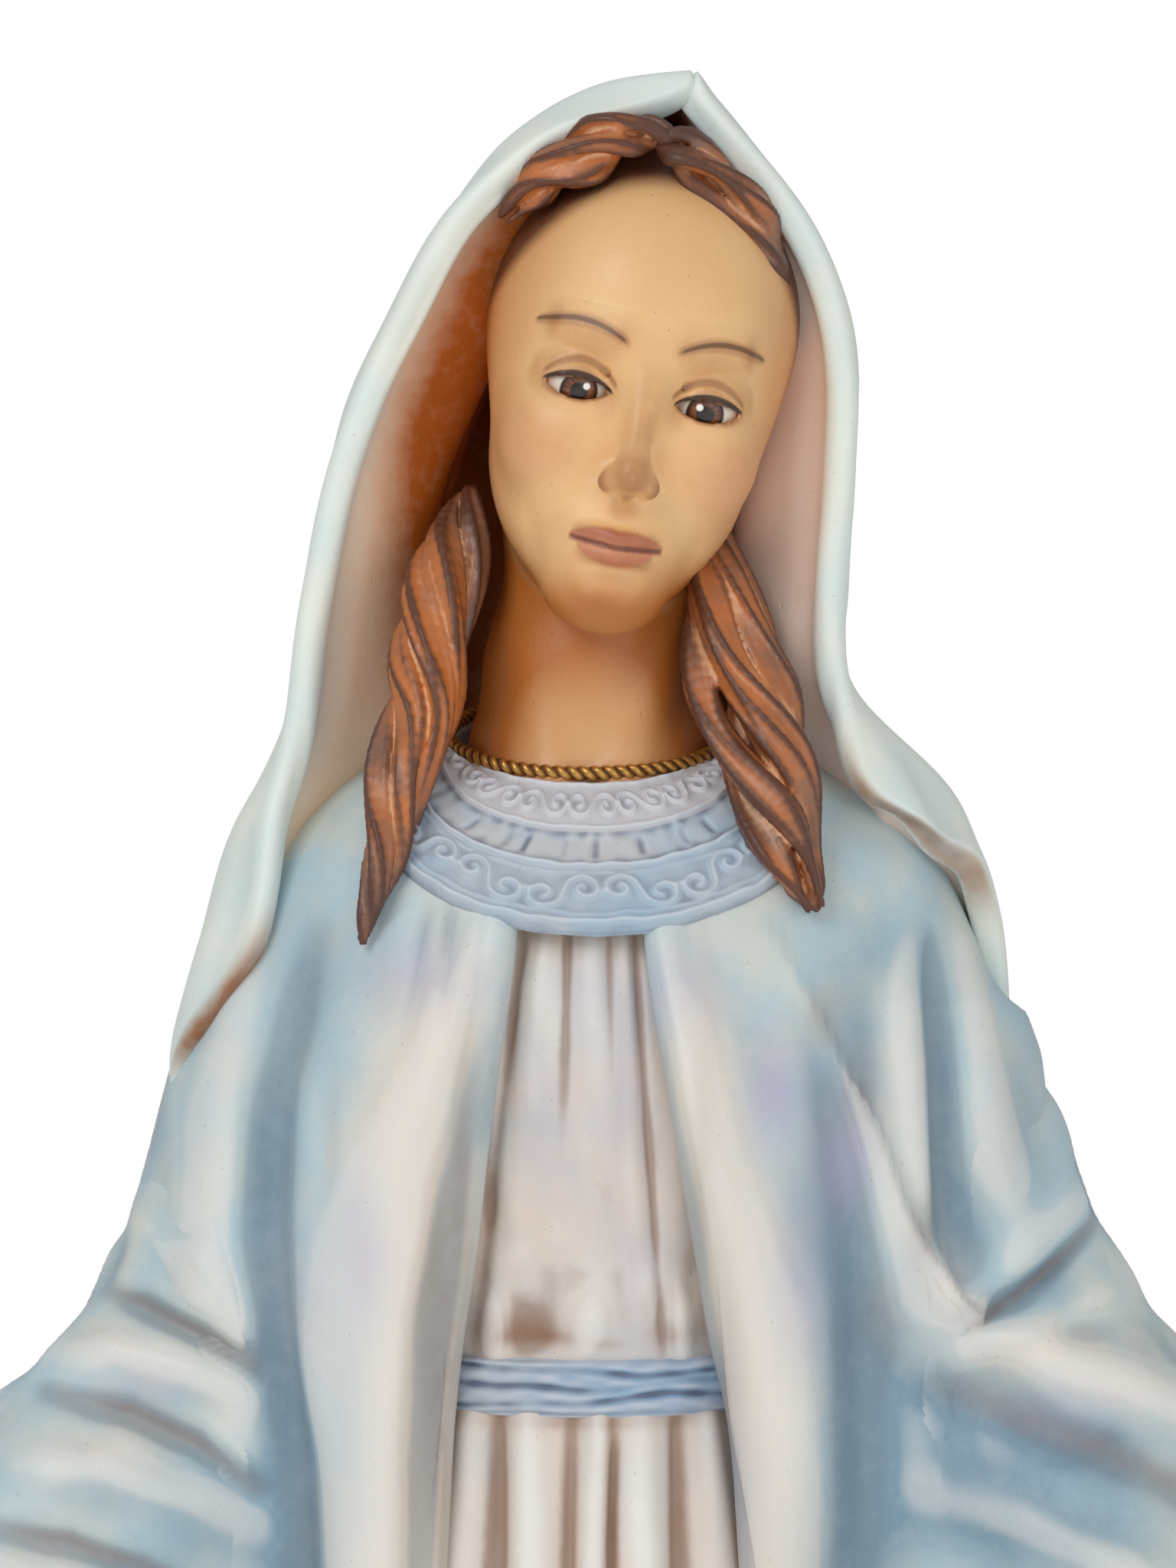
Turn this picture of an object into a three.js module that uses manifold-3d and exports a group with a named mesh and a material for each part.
// Standing Madonna figure on a half globe and a round plinth, as an assembly of separate castings.
// Millimetres, +Z up, the figure faces -Y. "left" and "right" are the figure's own sides: left is +X.
// Each garment is a horizontal loft. A piece that lies on another is cut by that piece grown by FIT_GAP,
// so every seat follows the piece it seats on.
import * as THREE from "three";
import { ParametricGeometry } from "three/addons/geometries/ParametricGeometry.js";
import { mergeVertices } from "three/addons/utils/BufferGeometryUtils.js";
import Module from "manifold-3d";

const wasm = await Module();
wasm.setup();

// ---- driving dimensions ----------------------------------------------------------------------
const FIT_GAP = 0.3; // glue gap between two castings
const FIGURE_HEIGHT = 356; // soles to the top of the veil

const FELT_MARGIN = 5; // plinth left bare round the felt
const FELT_THICKNESS = 2;
const FELT_RECESS = 0.8; // how deep the felt sits in the plinth

const PLINTH_RADIUS = 52;
const PLINTH_HEIGHT = 21.2;
const PLINTH_STEP = 5; // how far the upper drum stands in from the lower edge
const PLINTH_BEAD = 1.6; // radius of the bead between the two

const GLOBE_MARGIN = 6; // ledge of the plinth's drum left round the globe
const GLOBE_HEIGHT = 21.6;

const SASH_HEIGHT = 5.8;
const SASH_PROUD = 1.3; // how far the sash stands out from the gown
const SASH_REBATE = 1.2; // how deep it sits in the gown

const COLLAR_WALL = 1.3;
const COLLAR_DROP = 11; // slant depth of the yoke at the front
const TRIM_RADIUS = 0.7; // gilt braid round the neckline
const TRIM_SIDES = 24;

const VEIL_WALL = 2.6;

const WRIST_RADIUS = 5.2;
const SLEEVE_WALL = 2.2;

const PIN_CLEARANCE = 0.3;
const HAND_PIN = { radius: 1.25, length: 20 };
const NECK_PIN = { radius: 2, length: 26 };
const WAIST_PIN = { radius: 3, length: 44 };
const BASE_PIN = { radius: 3, length: 36, spacing: 26 };
const PLINTH_PIN = { radius: 4, length: 24 };

const SIDES = { left: 1, right: -1 };

// ---- levels and the figure's module ----------------------------------------------------------
// The anatomy is drawn for a figure 356 tall and follows FIGURE_HEIGHT through this module.
const DRAWN_HEIGHT = 356;
const unit = FIGURE_HEIGHT / DRAWN_HEIGHT;
const feltRadius = PLINTH_RADIUS - FELT_MARGIN;
const drumRadius = PLINTH_RADIUS - PLINTH_STEP;
const globeRadius = drumRadius - GLOBE_MARGIN;
const plinthFoot = FELT_THICKNESS - FELT_RECESS;
const globeFoot = plinthFoot + PLINTH_HEIGHT;
const soleLevel = globeFoot + GLOBE_HEIGHT;
const up = (height) => soleLevel + unit * height; // a height above the soles, drawn size

const SASH_CENTRE = 228.2;
const NECKLINE = { height: 289.2, tilt: 0.36 }; // tilt: rise per mm towards the back

// ---- solids ----------------------------------------------------------------------------------
function solid(geometry) {
  const bare = new THREE.BufferGeometry();
  bare.setAttribute("position", geometry.getAttribute("position").clone());
  if (geometry.index) bare.setIndex(geometry.index.clone());
  const merged = mergeVertices(bare, 1e-4);
  const index = merged.index.array;
  const position = merged.getAttribute("position");
  const corner = [0, 1, 2].map(() => new THREE.Vector3());
  const kept = [];
  let volume = 0;
  for (let i = 0; i < index.length; i += 3) {
    const [a, b, c] = [index[i], index[i + 1], index[i + 2]];
    if (a === b || b === c || a === c) continue;
    kept.push(a, b, c);
    [a, b, c].forEach((v, k) => corner[k].fromBufferAttribute(position, v));
    volume += corner[0].dot(corner[1].cross(corner[2]));
  }
  const triVerts = new Uint32Array(kept);
  if (volume < 0) triVerts.reverse();
  const vertProperties = new Float32Array(position.array);
  return new wasm.Manifold(new wasm.Mesh({ numProp: 3, vertProperties, triVerts }));
}

function largest(made) {
  return made.decompose().reduce((best, one) => (one.volume() > best.volume() ? one : best));
}

const cut = (body, ...tools) => tools.reduce((left, tool) => left.subtract(tool), body);

// Rows of numbers, the first the key, read smoothly at any key between the first and the last.
function smoothTable(rows) {
  const keys = rows.map((row) => row[0]);
  const slope = (k, column) => {
    const low = Math.max(0, k - 1);
    const high = Math.min(rows.length - 1, k + 1);
    return (rows[high][column] - rows[low][column]) / (keys[high] - keys[low]);
  };
  return (key) => {
    const at = Math.min(Math.max(key, keys[0]), keys[keys.length - 1]);
    let k = 0;
    while (k < rows.length - 2 && at > keys[k + 1]) k++;
    const span = keys[k + 1] - keys[k];
    const t = (at - keys[k]) / span;
    const [t2, t3] = [t * t, t * t * t];
    return rows[k].slice(1).map((value, i) => {
      const next = rows[k + 1][i + 1];
      const rise = slope(k, i + 1) * span;
      const fall = slope(k + 1, i + 1) * span;
      return (
        (2 * t3 - 3 * t2 + 1) * value + (t3 - 2 * t2 + t) * rise +
        (3 * t2 - 2 * t3) * next + (t3 - t2) * fall
      );
    });
  };
}

// A closed body through rings. ring(share) gives {centre, x, front, back} of the ring at that share
// of the length; the ends are flat.
function ringBody(ring, around, along, place = (point) => point) {
  const geometry = new ParametricGeometry((u, v, target) => {
    const row = Math.round(v * (along + 2));
    const share = Math.min(Math.max((row - 1) / along, 0), 1);
    const { x, front, back, centre } = ring(share);
    const turn = 2 * Math.PI * (u >= 1 ? 0 : u);
    const size = row === 0 || row === along + 2 ? 0 : 1;
    const [c, s] = [Math.cos(turn), Math.sin(turn)];
    target.set(size * x * c, size * s * (s < 0 ? front : back), 0).add(centre);
    place(target);
  }, around, along + 2);
  return solid(geometry);
}

// A garment loft: rows of [height, centre x, half width, front, back], for a body between two heights.
function garment(table, low, high, { grow = 0, around = 20, along = 10 } = {}) {
  const read = smoothTable(table);
  return ringBody((share) => {
    const height = low + (high - low) * share;
    const [centre, x, front, back] = read(height).map((value) => unit * value);
    return {
      centre: new THREE.Vector3(centre, 0, up(height)),
      x: x + grow, front: front + grow, back: back + grow,
    };
  }, around, along);
}

function cylinder(radius, length, centre, direction = new THREE.Vector3(0, 0, 1), sides = 12) {
  const geometry = new THREE.CylinderGeometry(radius, radius, length, sides);
  const turn = new THREE.Quaternion().setFromUnitVectors(
    new THREE.Vector3(0, 1, 0), direction.clone().normalize(),
  );
  geometry.applyQuaternion(turn).translate(centre.x, centre.y, centre.z);
  return solid(geometry);
}

function ellipsoid(radii, centre, turn = new THREE.Euler(), around = 16, along = 10) {
  const geometry = new THREE.SphereGeometry(1, around, along);
  geometry.scale(...radii);
  geometry.applyMatrix4(new THREE.Matrix4().makeRotationFromEuler(turn));
  geometry.translate(centre.x, centre.y, centre.z);
  return solid(geometry);
}

// Everything on the upper side of a plane through (0, 0, height) that rises by slope towards the back.
function above(height, slope, reach = 4 * globeRadius) {
  const geometry = new THREE.BoxGeometry(2 * reach, 2 * reach, reach);
  geometry.translate(0, 0, reach / 2).rotateX(Math.atan(slope)).translate(0, 0, height);
  return solid(geometry);
}

// A lock or a drape: ellipses along a list of stations [x, y, z, half width, half depth].
function strand(stations, { grow = 0, around = 10, along = 10, side = 1 } = {}) {
  const path = new THREE.CatmullRomCurve3(stations.map(([x, y, z]) => new THREE.Vector3(x, y, z)));
  const sizes = smoothTable(stations.map((row, k) => [k / (stations.length - 1), row[3], row[4]]));
  const forward = new THREE.Vector3(0, -1, 0);
  return ringBody((share) => {
    const [wide, deep] = sizes(share);
    return { centre: new THREE.Vector3(0, 0, share), x: wide + grow, front: deep + grow, back: deep + grow };
  }, around, along, (point) => {
    const share = point.z;
    const ahead = path.getTangent(share);
    const across = new THREE.Vector3().crossVectors(ahead, forward).normalize();
    const outward = new THREE.Vector3().crossVectors(across, ahead).normalize();
    const spare = share === 0 ? -grow : share === 1 ? grow : 0;
    const centre = path.getPoint(share).addScaledVector(ahead, spare);
    const moved = centre.addScaledVector(across, point.x).addScaledVector(outward, -point.y);
    point.set(side * unit * moved.x, unit * moved.y, up(moved.z));
  });
}

// ---- garment outlines: [height above the soles, centre x, half width, front, back] -----------
const GOWN = [
  [0, 0, 33, 27, 24],
  [16, 0, 31, 25, 22],
  [76, 0, 27, 21.5, 18],
  [156, 0, 25, 20, 16],
  [206, 0, 22.5, 18.5, 14],
  [228, 0, 19, 16.5, 12],
  [251, 0, 23.5, 20, 13.5],
  [266, 0, 25.5, 18, 14.5],
  [277, 0, 23, 15, 14.5],
  [285, 0, 17.5, 12.8, 13.5],
  [292, 0, 14, 11.6, 13],
  [296, 0, 13.4, 11.2, 12.6],
];
const COAT = [
  [2, 0, 47, 37, 37],
  [56, 0, 43, 32, 33],
  [116, 0, 39.5, 29, 30],
  [176, 0, 37, 26.5, 27.5],
  [206, 0, 37.5, 25, 25],
  [228, 0, 40, 24.5, 23],
  [246, 0.6, 42, 25, 21.5],
  [260, 0.8, 41, 24, 20.5],
  [272, 0.9, 37.5, 20.5, 19.5],
  [281, 1, 32.5, 17, 18.5],
  [287, 1, 25, 14.2, 17],
  [291, 0.6, 16, 12, 15],
];
const VEIL = [
  [176, 0.5, 38, 14, 31],
  [214, 0.5, 40, 16, 29],
  [240, 0.8, 43, 19, 27],
  [254, 1, 43.5, 20, 26],
  [268, 1.1, 41.4, 21, 25],
  [275, 1.6, 39.6, 21, 24.5],
  [282, 1.6, 37, 20.5, 24],
  [289, 1.4, 32.4, 20, 24],
  [295, -1.6, 28, 19.5, 24.3],
  [305, -1.1, 26.9, 18.6, 24.6],
  [317, 0.4, 25.9, 18, 24.6],
  [330, 2.5, 23.4, 18, 23.4],
  [342, 3.9, 18.5, 18, 20],
  [350, 6.2, 11.5, 17.4, 15.5],
  [354.5, 8.6, 5.4, 15.5, 9],
  [356, 9.6, 2.2, 13, 4],
];
const NECK = [
  [278, 0, 12.2, 9, 9.6],
  [286, 0, 12.4, 9.6, 10],
  [290, 0.2, 11.6, 9.4, 9.6],
  [296, 0.8, 10, 9, 8.8],
  [306, 1.8, 9.6, 9.6, 8.6],
  [316, 3, 9.6, 10, 8.6],
];

// ---- base ------------------------------------------------------------------------------------
function plinthSolid() {
  const stepAt = PLINTH_HEIGHT * 0.42;
  const profile = new THREE.Path();
  profile.moveTo(0, plinthFoot);
  profile.lineTo(PLINTH_RADIUS, plinthFoot);
  profile.lineTo(PLINTH_RADIUS, plinthFoot + stepAt - PLINTH_STEP / 2);
  profile.quadraticCurveTo(PLINTH_RADIUS, plinthFoot + stepAt, drumRadius + PLINTH_BEAD, plinthFoot + stepAt);
  profile.absarc(drumRadius, plinthFoot + stepAt + PLINTH_BEAD, PLINTH_BEAD, -Math.PI / 6, Math.PI / 2, false);
  profile.lineTo(drumRadius - PLINTH_BEAD, globeFoot - 2 * PLINTH_BEAD);
  profile.absarc(drumRadius - PLINTH_BEAD, globeFoot - PLINTH_BEAD, PLINTH_BEAD, -Math.PI / 2, Math.PI / 2, false);
  profile.lineTo(0, globeFoot);
  return lathed(profile.getPoints(2), 28);
}

function lathed(points, around) {
  const geometry = new THREE.LatheGeometry(points, around);
  geometry.rotateX(Math.PI / 2);
  return solid(geometry);
}

const sphere = (globeRadius ** 2 + GLOBE_HEIGHT ** 2) / (2 * GLOBE_HEIGHT); // radius of the globe's cap

function globeSolid(grow = 0) {
  const profile = new THREE.Path();
  const foot = globeFoot + FIT_GAP - grow;
  const centre = soleLevel - sphere;
  const reach = Math.acos((foot - centre) / (sphere + grow));
  profile.moveTo(0, foot);
  profile.lineTo((sphere + grow) * Math.sin(reach), foot);
  profile.absarc(0, centre, sphere + grow, Math.PI / 2 - reach, Math.PI / 2, false);
  return lathed(profile.getPoints(4), 32);
}

const feltSolid = () =>
  cylinder(feltRadius, FELT_THICKNESS, new THREE.Vector3(0, 0, FELT_THICKNESS / 2), undefined, 36);

const feltPocket = () =>
  cylinder(feltRadius + FIT_GAP, 2 * (FELT_RECESS + FIT_GAP),
    new THREE.Vector3(0, 0, plinthFoot), undefined, 36);

// ---- pins ------------------------------------------------------------------------------------
const ELBOW_AT = new THREE.Vector3(41, -1, 221); // above the soles, drawn size
const WRIST_AT = new THREE.Vector3(70, -20.5, 184);
const HAND_AXIS = WRIST_AT.clone().sub(ELBOW_AT).normalize();

function wristPlace(side, along = 0) {
  const at = new THREE.Vector3(side * unit * WRIST_AT.x, unit * WRIST_AT.y, up(WRIST_AT.z));
  return at.addScaledVector(handDirection(side), along);
}

const handDirection = (side) => new THREE.Vector3(side * HAND_AXIS.x, HAND_AXIS.y, HAND_AXIS.z);

const PINS = {
  hand_pin_left: { ...HAND_PIN, centre: wristPlace(1, -2), direction: handDirection(1) },
  hand_pin_right: { ...HAND_PIN, centre: wristPlace(-1, -2), direction: handDirection(-1) },
  neck_pin: { ...NECK_PIN, centre: new THREE.Vector3(0, 0, up(278)) },
  waist_pin: { ...WAIST_PIN, centre: new THREE.Vector3(0, 0, up(SASH_CENTRE)) },
  foot_pin_left: { ...BASE_PIN, centre: new THREE.Vector3(BASE_PIN.spacing / 2, 0, soleLevel) },
  foot_pin_right: { ...BASE_PIN, centre: new THREE.Vector3(-BASE_PIN.spacing / 2, 0, soleLevel) },
  globe_pin: { ...PLINTH_PIN, centre: new THREE.Vector3(0, 0, globeFoot) },
};

function pinSolid({ radius, length, centre, direction }, grow = 0) {
  return cylinder(radius + grow, length + 2 * grow, centre, direction, 12);
}

const pinHole = (name) => pinSolid(PINS[name], PIN_CLEARANCE);

// ---- gown ------------------------------------------------------------------------------------
const gownEnvelope = (grow = 0) => garment(GOWN, -8, 296, { grow, along: 13 });

// A band of the gown round the sash, from under its surface to past it.
function sashBand(reach, proud, depth) {
  const ring = gownEnvelope(proud).subtract(gownEnvelope(-depth));
  return ring.subtract(above(up(SASH_CENTRE) + reach, 0)).intersect(above(up(SASH_CENTRE) - reach, 0));
}

const sashSolid = () => sashBand(SASH_HEIGHT / 2, SASH_PROUD, SASH_REBATE);
const sashRebate = () => sashBand(SASH_HEIGHT / 2 + FIT_GAP, SASH_PROUD + FIT_GAP, SASH_REBATE + FIT_GAP);

function skirtSolid() {
  const body = gownEnvelope().subtract(above(up(SASH_CENTRE) - FIT_GAP / 2, 0));
  return cut(body, globeSolid(FIT_GAP), sashRebate(), pinHole("waist_pin"), pinHole("foot_pin_left"),
    pinHole("foot_pin_right"), footSolid(SIDES.left, FIT_GAP), footSolid(SIDES.right, FIT_GAP));
}

function bodiceSolid() {
  const body = gownEnvelope().intersect(above(up(SASH_CENTRE) + FIT_GAP / 2, 0));
  return cut(body, above(up(NECKLINE.height) - FIT_GAP - 1, NECKLINE.tilt), neckSolid(FIT_GAP),
    sashRebate(), pinHole("waist_pin"), pinHole("neck_pin"));
}

// ---- collar and gilt trim --------------------------------------------------------------------
function collarSolid(grow = 0) {
  const over = above(up(NECKLINE.height) + grow, NECKLINE.tilt);
  const under = above(up(NECKLINE.height) - COLLAR_DROP - grow, NECKLINE.tilt);
  const band = gownEnvelope(COLLAR_WALL + FIT_GAP + grow).intersect(under).subtract(over);
  return grow ? band : cut(band, gownEnvelope(FIT_GAP), neckSolid(FIT_GAP));
}

function trimSolid(grow = 0) {
  const lean = Math.atan(NECKLINE.tilt);
  const at = up(NECKLINE.height) + TRIM_RADIUS + 2 * FIT_GAP;
  const neck = smoothTable(NECK);
  const [, , reach] = neck(NECKLINE.height);
  const tube = TRIM_RADIUS + grow;
  const chord = Math.cos(Math.PI / TRIM_SIDES);
  const geometry = new THREE.TorusGeometry(1, tube, 6, TRIM_SIDES);
  const position = geometry.getAttribute("position");
  const point = new THREE.Vector3();
  for (let i = 0; i < position.count; i++) {
    point.fromBufferAttribute(position, i);
    const turn = Math.atan2(point.y, point.x);
    const out = Math.hypot(point.x, point.y) - 1 + TRIM_RADIUS + 3 * FIT_GAP;
    const level = NECKLINE.height + NECKLINE.tilt * reach * Math.sin(turn);
    const [, half, front, back] = neck(level).map((value) => unit * value);
    const deep = Math.sin(turn) < 0 ? front : back;
    point.x = ((half + out) / chord) * Math.cos(turn);
    point.y = ((deep + out) / chord) * Math.sin(turn);
    position.setXYZ(i, point.x, point.y, point.z);
  }
  geometry.rotateX(lean).translate(0, 0, at);
  return solid(geometry);
}

// ---- head and neck ---------------------------------------------------------------------------
const HEAD_CENTRE = [4.6, -4.5, 327];
const HEAD_TURN = new THREE.Euler(0.16, 0.19, 0.05); // bowed, leaning to the figure's left

function headPoint(x, y, z) {
  const point = new THREE.Vector3(x, y, z).applyEuler(HEAD_TURN);
  point.x += HEAD_CENTRE[0];
  point.y += HEAD_CENTRE[1];
  point.z += HEAD_CENTRE[2];
  return new THREE.Vector3(unit * point.x, unit * point.y, up(point.z));
}

function headLump(radii, at, grow, around, along) {
  const sizes = radii.map((radius) => unit * radius + grow);
  return ellipsoid(sizes, headPoint(...at), HEAD_TURN, around, along);
}

const neckSolid = (grow = 0) => garment(NECK, 278 - grow, 316, { grow, around: 14, along: 4 });

function headSolid(grow = 0) {
  const skull = headLump([16.2, 19.4, 18.5], [0, 1.5, 4.5], grow, 16, 10);
  const jaw = headLump([13.2, 14, 18], [0, -5.2, -6.4], grow, 12, 8);
  const chin = headLump([5.6, 5, 5], [0, -13.6, -19], grow, 8, 6);
  const nose = headLump([2.9, 4.4, 6.4], [0, -18.8, -4.4], grow, 8, 6);
  const brow = headLump([12, 5, 6], [0, -13.2, 8], grow, 10, 6);
  const made = [jaw, chin, nose, brow].reduce((sum, lump) => sum.add(lump), skull).add(neckSolid(grow));
  return grow ? made : largest(cut(made, pinHole("neck_pin")));
}

// ---- hair ------------------------------------------------------------------------------------
const SIDE_LOCKS = {
  left: [
    [16.2, -5, 313, 2.4, 2.6], [16.4, -8.5, 305, 4.4, 4], [17.4, -11.5, 296, 4.6, 4],
    [19, -14, 288, 4.4, 3.4], [21, -17, 281, 4, 3], [23.4, -19, 275.5, 2, 1.8],
  ],
  right: [
    [11.8, -5, 317, 2.6, 2.6], [14.4, -8.5, 306, 4.8, 4.2], [16.6, -11.2, 296, 4.8, 4],
    [19.6, -13.2, 288, 4.2, 3.4], [21.6, -15.6, 280, 3.4, 2.8], [22.4, -17, 272.5, 1.2, 1.4],
  ],
};
const FRONT_LOCKS = {
  left: [
    [8.6, -18.6, 348.4, 1.6, 1.4], [12.6, -18, 344.4, 2.8, 2.2], [16.6, -15.6, 338.5, 3, 2.6],
    [19.4, -11.4, 331.5, 2.6, 2.8], [20, -6, 325, 1.6, 2.2],
  ],
  right: [
    [6, -18.8, 348.6, 1.6, 1.4], [1, -18.4, 346, 2.8, 2.2], [-4.2, -16, 341.6, 3, 2.6],
    [-9.4, -12.4, 335.6, 2.6, 2.8], [-12.4, -7, 329, 1.6, 2.2],
  ],
};

const mirroredX = (rows, side) => rows.map(([x, ...rest]) => [side * x, ...rest]);

function sideLock(name) {
  const side = SIDES[name];
  const lock = strand(mirroredX(SIDE_LOCKS[name], side), { around: 8, along: 9 });
  return largest(cut(lock, headSolid(FIT_GAP), coatEnvelope(FIT_GAP), collarSolid(FIT_GAP),
    trimSolid(FIT_GAP), gownEnvelope(FIT_GAP)));
}

function frontLock(name) {
  const lock = strand(FRONT_LOCKS[name], { around: 8, along: 7 });
  return largest(cut(lock, headSolid(FIT_GAP)));
}

// ---- coat ------------------------------------------------------------------------------------
// The front edges of the coat, as [height, x of the right edge, x of the left edge].
const COAT_FRONT = [
  [-20, -26, 26],
  [40, -21, 21],
  [120, -16.5, 17],
  [190, -13.6, 14.4],
  [222, -12.6, 13],
  [233, -11.8, 11.2],
  [252, -9.6, 7.9],
  [264, -8.4, 6],
  [269.6, -8.2, 5.6],
  [271, -12.5, 10.5],
  [274, -17.6, 16],
  [279, -21, 19.6],
  [300, -22, 21],
];

function coatEnvelope(grow = 0) {
  return garment(COAT, 2, 291, { grow, along: 11, around: 26 });
}

function frontOpening() {
  const edge = (column) => COAT_FRONT.map((row) => new THREE.Vector2(unit * row[column], up(row[0])));
  const outline = new THREE.Shape();
  outline.setFromPoints([...edge(1), ...edge(2).reverse()]);
  const geometry = new THREE.ExtrudeGeometry(outline, { depth: 3 * globeRadius, bevelEnabled: false });
  geometry.rotateX(Math.PI / 2);
  return solid(geometry);
}

function coatSolid() {
  const collarSpace = collarSolid(FIT_GAP);
  return largest(cut(coatEnvelope(), gownEnvelope(FIT_GAP), frontOpening(),
    sashRebate(), collarSpace, neckSolid(FIT_GAP), trimSolid(FIT_GAP), globeSolid(FIT_GAP),
    footSolid(SIDES.left, FIT_GAP), footSolid(SIDES.right, FIT_GAP)));
}

// ---- sleeves: [x, y, height, half width across the arm, half depth] down the forearm ----------
const SLEEVE = [
  [31, 1, 238, 11.5, 12],
  [39, -1, 225, 14.5, 13],
  [46.5, -5.5, 214, 15.5, 13],
  [55, -11, 202.5, 16.5, 12],
  [64, -16.5, 191, 16.5, 11],
];
const SLEEVE_HOLLOW = [
  [52.2, -9.2, 206, 8, 7],
  [58, -12.8, 198.6, 13.6, 9.6],
  [66, -17.7, 188.4, 14.5, 9],
];

const sleeveBody = (side, grow = 0) => strand(SLEEVE, { grow, side, around: 14, along: 6 });
const sleeveHollow = (side, shrink = 0) =>
  strand(SLEEVE_HOLLOW, { grow: 2.3 - SLEEVE_WALL - shrink, side, around: 12, along: 3 });

function sleeveSolid(name) {
  const side = SIDES[name];
  return largest(cut(sleeveBody(side), coatEnvelope(FIT_GAP), sleeveHollow(side),
    forearmSolid(side, FIT_GAP)));
}

// ---- arms, hands and feet --------------------------------------------------------------------
function forearmSolid(side, grow = 0) {
  const length = unit * WRIST_AT.distanceTo(ELBOW_AT) + 2 * grow;
  const centre = wristPlace(side, grow - FIT_GAP / 2 - length / 2);
  return cylinder(WRIST_RADIUS + grow, length, centre, handDirection(side), 12);
}

function armSolid(name) {
  const side = SIDES[name];
  return largest(cut(forearmSolid(side), coatEnvelope(FIT_GAP), pinHole(`hand_pin_${name}`)));
}

// Fingers as [across the palm, forward curl, length along the hand, radius], from the first finger on.
const FINGERS = [
  [-4.6, 2.2, 32.5, 1.55],
  [-1.6, 2.6, 35, 1.6],
  [1.5, 3, 33, 1.5],
  [4.3, 3.8, 28, 1.35],
];
const PALM_LENGTH = 17;
const THUMB = { root: [-4.6, 0.5, 5], tip: [-9.6, -3.2, 20], radius: 1.8 };

function capsule(from, to, radius) {
  const span = to.clone().sub(from);
  const geometry = new THREE.CapsuleGeometry(radius, span.length(), 1, 6);
  const turn = new THREE.Quaternion().setFromUnitVectors(new THREE.Vector3(0, 1, 0), span.clone().normalize());
  const middle = from.clone().add(to).multiplyScalar(0.5);
  geometry.applyQuaternion(turn).translate(middle.x, middle.y, middle.z);
  return solid(geometry);
}

function handFrame(side) {
  const along = handDirection(side);
  const palm = new THREE.Vector3(side * 0.25, -1, 0);
  palm.addScaledVector(along, -palm.dot(along)).normalize();
  const across = new THREE.Vector3().crossVectors(palm, along).multiplyScalar(side);
  return (x, y, z) =>
    wristPlace(side, FIT_GAP / 2 + unit * z)
      .addScaledVector(across, -unit * x)
      .addScaledVector(palm, unit * y);
}

function handSolid(name) {
  const side = SIDES[name];
  const place = handFrame(side);
  const palm = [
    capsule(place(-2.4, 0, 7), place(-3.2, 0.4, PALM_LENGTH), unit * 3),
    capsule(place(2, 0.2, 6), place(2.8, 0.4, PALM_LENGTH - 0.5), unit * 3),
  ];
  const wrist = cylinder(WRIST_RADIUS - 0.8, unit * 8, place(0, 0, 4), handDirection(side), 12);
  const fingers = FINGERS.map(([x, curl, length, radius]) =>
    capsule(place(x * 0.92, 0.4, PALM_LENGTH - 1), place(x, curl, length), unit * radius));
  const thumb = [
    capsule(place(...THUMB.root), place(-8.2, -0.8, 13), unit * THUMB.radius),
    capsule(place(-8.2, -0.8, 13), place(...THUMB.tip), unit * THUMB.radius * 0.9),
  ];
  const made = [...palm, ...fingers, ...thumb].reduce((sum, part) => sum.add(part), wrist);
  const rim = sleeveBody(side, FIT_GAP).subtract(sleeveHollow(side, FIT_GAP));
  return largest(cut(made, pinHole(`hand_pin_${name}`), forearmSolid(side, FIT_GAP), rim));
}

// A foot lies on the globe's slope at a point [x, y], seen from above.
const FOOT = { at: [9.5, -26.5], radii: [6, 11.5, 4.8], rise: 4.6, splay: 0.18 };

function footSolid(side, grow = 0) {
  const [x, y] = [side * unit * FOOT.at[0], unit * FOOT.at[1]];
  const height = Math.sqrt(sphere ** 2 - x ** 2 - y ** 2);
  const turn = new THREE.Euler(-0.8 * Math.atan2(-y, height), 0, side * FOOT.splay);
  const at = new THREE.Vector3(x, y, soleLevel - sphere + height + unit * FOOT.rise);
  return ellipsoid(FOOT.radii.map((radius) => unit * radius + grow), at, turn, 10, 6);
}

// ---- veil ------------------------------------------------------------------------------------
// Front edge of the hood, as [height, x]: down the right side, then up the left side.
const RIM_RIGHT = [
  [355, 9.6], [349.5, -2], [340.5, -12], [329, -18.8], [316, -23], [303, -25.6], [290, -27.4], [272, -29],
];
const RIM_LEFT = [
  [355, 11], [348, 17], [339, 21.4], [328, 23.8], [316, 24.4], [304, 24.2], [292, 23.6],
];
// Lower edge at the front, from the rim outwards: [height, x].
const HEM_RIGHT = [[266, -32], [259, -37.5], [253, -46]];
const HEM_LEFT = [[286, 29], [281, 36], [268, 44], [262, 50]];

function hoodOpening() {
  const point = ([height, x]) => new THREE.Vector2(unit * x, up(height));
  const outline = new THREE.Shape();
  const below = [[120, 90], [120, -90]];
  outline.setFromPoints([...RIM_RIGHT, ...HEM_RIGHT].map(point)
    .concat([...below].reverse().map(([h, x]) => point([h, x])))
    .concat([...RIM_LEFT, ...HEM_LEFT].map(point).reverse()));
  const geometry = new THREE.ExtrudeGeometry(outline, { depth: 3 * globeRadius, bevelEnabled: false });
  geometry.rotateX(Math.PI / 2).translate(0, -unit * 4, 0);
  return solid(geometry);
}

const veilEnvelope = (grow = 0) => garment(VEIL, 176, 356, { grow, around: 26, along: 13 });

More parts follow.
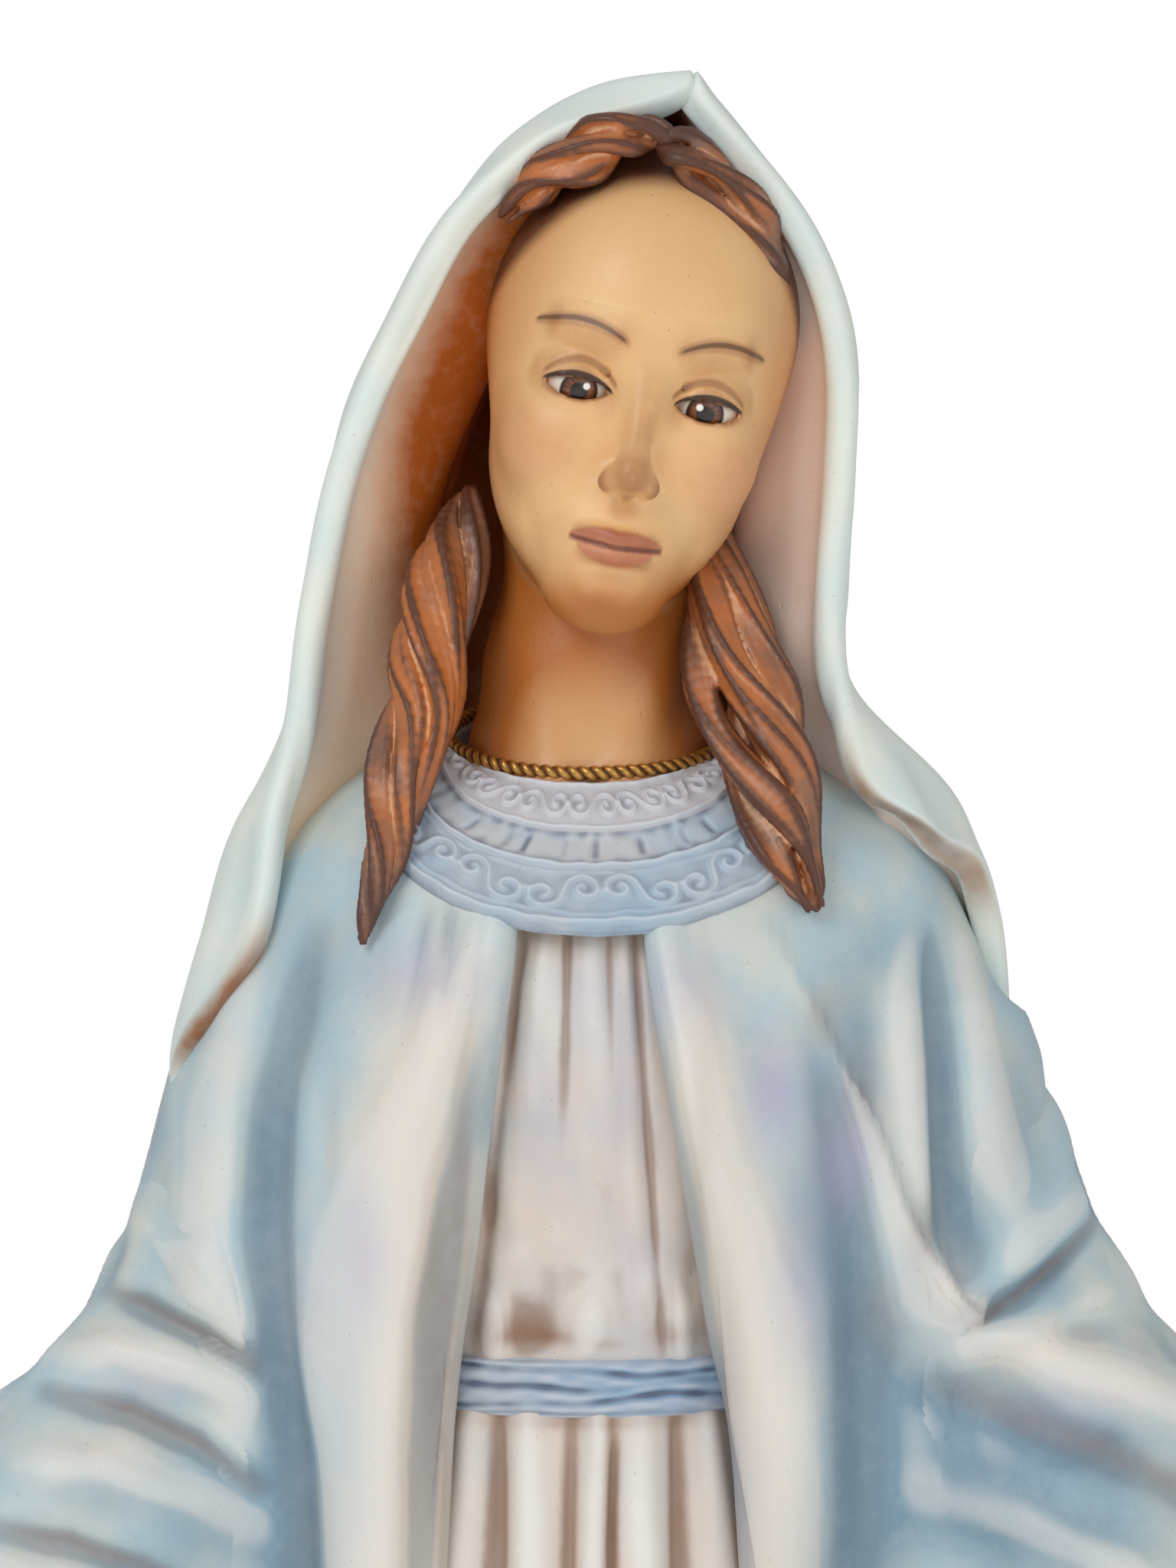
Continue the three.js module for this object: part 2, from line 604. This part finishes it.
function veilSolid() {
  const drop = VEIL_WALL / unit;
  const lining = VEIL.map(([height, ...outline]) => [height - drop, ...outline]);
  const hood = garment(lining, 262, 354 - drop, { grow: -VEIL_WALL, along: 9 });
  const backHem = above(up(232), -1.25);
  const shell = cut(veilEnvelope().intersect(backHem), hood, hoodOpening());
  return largest(cut(shell, coatEnvelope(FIT_GAP), gownEnvelope(FIT_GAP),
    headSolid(FIT_GAP), sleeveBody(SIDES.left, FIT_GAP), sleeveBody(SIDES.right, FIT_GAP)));
}

// ---- materials -------------------------------------------------------------------------------
const paint = (color, roughness = 0.55, metalness = 0) =>
  new THREE.MeshStandardMaterial({ color, roughness, metalness });
const MATERIALS = {
  flesh: paint(0xe8c592),
  hair: paint(0x9a5f45, 0.5, 0.25),
  veil: paint(0xe6ece8),
  coat: paint(0xb9cfdd),
  gown: paint(0xddd6cd),
  sash: paint(0x8ba2b8),
  collar: paint(0xccd6de),
  gilt: paint(0xb07f35, 0.35, 0.9),
  globe: paint(0x9fbdd0),
  plinth: paint(0xd9d2c4),
  felt: paint(0x35513f, 0.95),
  steel: paint(0x9a9da1, 0.35, 0.95),
};

// ---- assembly --------------------------------------------------------------------------------

const statue = new THREE.Group();

function add(name, made, material) {
  const { numProp, vertProperties, triVerts } = made.getMesh();
  const geometry = new THREE.BufferGeometry();
  const position = new Float32Array((vertProperties.length / numProp) * 3);
  for (let i = 0; i < position.length / 3; i++) {
    position.set(vertProperties.subarray(i * numProp, i * numProp + 3), i * 3);
  }
  geometry.setAttribute("position", new THREE.BufferAttribute(position, 3));
  geometry.setIndex(new THREE.BufferAttribute(triVerts, 1));
  geometry.computeVertexNormals();
  const mesh = new THREE.Mesh(geometry, MATERIALS[material]);
  mesh.name = name;
  statue.add(mesh);
}

add("felt_pad", feltSolid(), "felt");
add("plinth", cut(plinthSolid(), feltPocket(), pinHole("globe_pin")), "plinth");
add("globe", cut(globeSolid(), pinHole("globe_pin"), pinHole("foot_pin_left"), pinHole("foot_pin_right")),
  "globe");
add("gown_skirt", largest(skirtSolid()), "gown");
add("gown_bodice", largest(bodiceSolid()), "gown");
add("sash", largest(sashSolid()), "sash");
add("collar_yoke", largest(collarSolid()), "collar");
add("neck_trim", largest(trimSolid()), "gilt");
add("head", headSolid(), "flesh");
add("coat", coatSolid(), "coat");
add("veil", veilSolid(), "veil");
for (const name of ["left", "right"]) {
  add(`sleeve_${name}`, sleeveSolid(name), "coat");
  add(`forearm_${name}`, armSolid(name), "gown");
  add(`hand_${name}`, handSolid(name), "flesh");
  add(`foot_${name}`, cut(footSolid(SIDES[name]), globeSolid(FIT_GAP)), "flesh");
  add(`hair_front_${name}`, frontLock(name), "hair");
  add(`hair_lock_${name}`, sideLock(name), "hair");
}
for (const [name, pin] of Object.entries(PINS)) add(name, pinSolid(pin), "steel");

export default statue;
